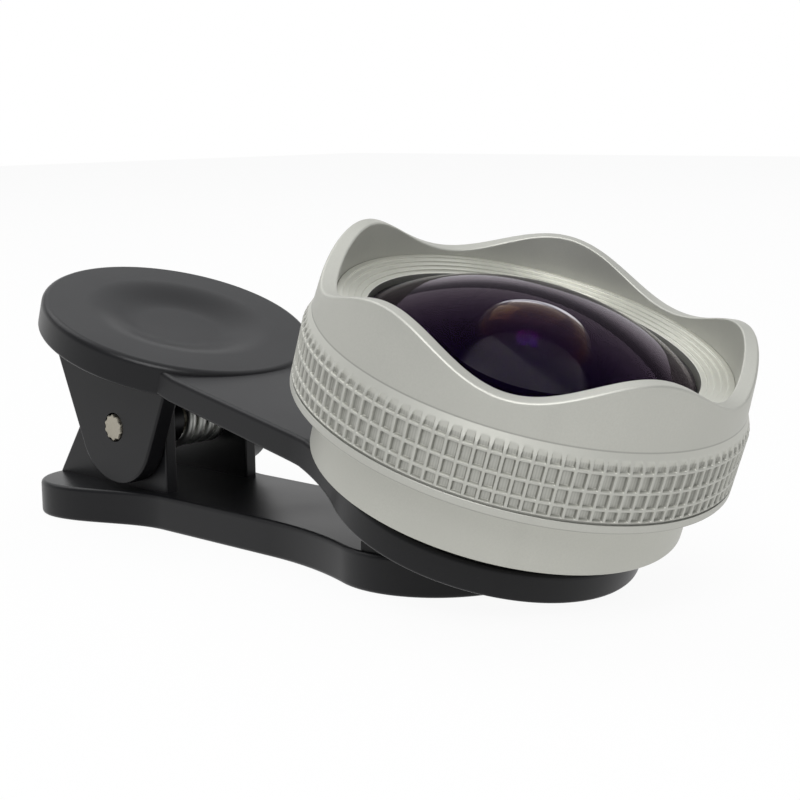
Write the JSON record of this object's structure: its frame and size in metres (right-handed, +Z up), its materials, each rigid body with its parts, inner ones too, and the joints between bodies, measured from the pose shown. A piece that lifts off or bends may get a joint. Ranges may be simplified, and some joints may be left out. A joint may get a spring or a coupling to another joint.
{
  "type": "clip-on phone lens",
  "caption": "Clip on phone lens: a sprung black clip whose upper jaw holds a silver macro barrel and a knurled wide-angle lens with a wavy petal hood.",
  "frame": {"origin": "on the resting plane, straight under the hinge pin's middle, at the foot of the lower arm's spine rib", "axes": "+X from the hinge towards the lens end, +Y across the clip, +Z up, square to the lower arm's flat underside"},
  "size_m": [0.1034, 0.05, 0.0411],
  "materials": {
    "black_plastic": "fine satin moulding",
    "pin_steel": "plain pressed steel",
    "spring_steel": "bright drawn wire",
    "pad_rubber": "soft matt",
    "satin_silver": "fine blasted and silver anodised",
    "black_metal": "matt black anodised",
    "lens_glass": "polished and coated"
  },
  "bodies": {
    "lower_body": {"lower_arm": "black_plastic", "lower_pad": "pad_rubber", "torsion_spring": "spring_steel"},
    "upper_body": {"upper_arm": "black_plastic", "pivot_pin": "pin_steel", "ring_pad": "pad_rubber"},
    "macro_body": {"macro_barrel": "satin_silver", "macro_glass": "lens_glass", "macro_retainer": "black_metal"},
    "wide_body": {"front_barrel": "satin_silver", "front_retainer": "satin_silver", "front_glass": "lens_glass", "glass_seal": "pad_rubber", "lens_cell": "black_metal", "second_lens": "lens_glass", "spacer_ring": "black_metal", "crown_lens": "lens_glass", "flint_lens": "lens_glass", "rear_retainer": "black_metal"}
  },
  "joints": [
    {"name": "clip_hinge", "type": "hinge", "parent": "lower_body", "child": "upper_body", "pos_m": [0, 0, 0.01288], "axis": [0, -1, 0], "range_deg": [0, 25], "stiffness_Nm_per_rad": 0.25, "springref_deg": -40.11, "deforming": ["torsion_spring"]},
    {"name": "lens_mount", "type": "hinge", "parent": "upper_body", "child": "macro_body", "pos_m": [0.05676, 0, 0.01214], "axis": [0.3239, 0, 0.9461], "range_deg": [0, 900]},
    {"name": "front_unscrew", "type": "hinge", "parent": "macro_body", "child": "wide_body", "pos_m": [0.05676, 0, 0.01214], "axis": [0.3239, 0, 0.9461], "range_deg": [0, 1170]}
  ]
}
